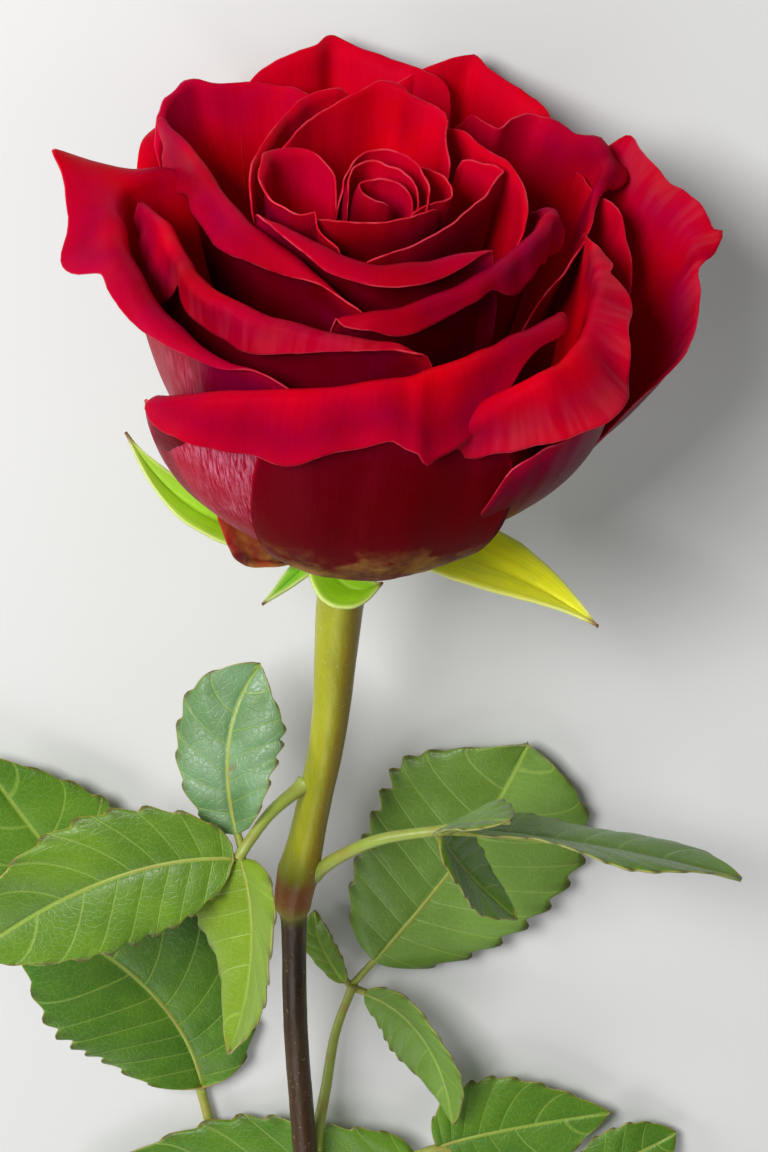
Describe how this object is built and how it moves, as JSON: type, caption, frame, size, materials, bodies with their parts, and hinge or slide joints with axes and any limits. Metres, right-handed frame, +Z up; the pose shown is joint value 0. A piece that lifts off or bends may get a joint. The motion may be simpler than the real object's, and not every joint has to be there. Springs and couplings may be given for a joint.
{
  "type": "rose stem",
  "caption": "Cut red rose lying on a surface: an open bloom of layered, rolled petals on its calyx, a slim leafy stem with toothed compound leaves, and a slanted cut end",
  "frame": {"origin": "middle of the underside, on the surface that the rose lies on", "axes": "+Z up from the surface; +Y along the stem from its cut end to the bloom, the longest way; +X to the right of the bloom as the picture shows it"},
  "size_m": [0.1416, 0.305, 0.095],
  "materials": {
    "petal": "velvety crimson petal, lighter at its rolled margin, darker and veined on its back",
    "sepal": "soft satin yellow-green with pale margins",
    "stem": "smooth satin green, brown on one side and dark red-brown below the node",
    "leaf": "waxy satin green with net veins and yellowish toothed margins"
  },
  "bodies": {
    "root": {"bloom": "petal", "calyx": "sepal", "stem": "stem", "leaf_left": "leaf", "leaf_right": "leaf", "leaf_right_low": "leaf", "leaf_left_low": "leaf", "leaf_base": "leaf"}
  },
  "joints": []
}
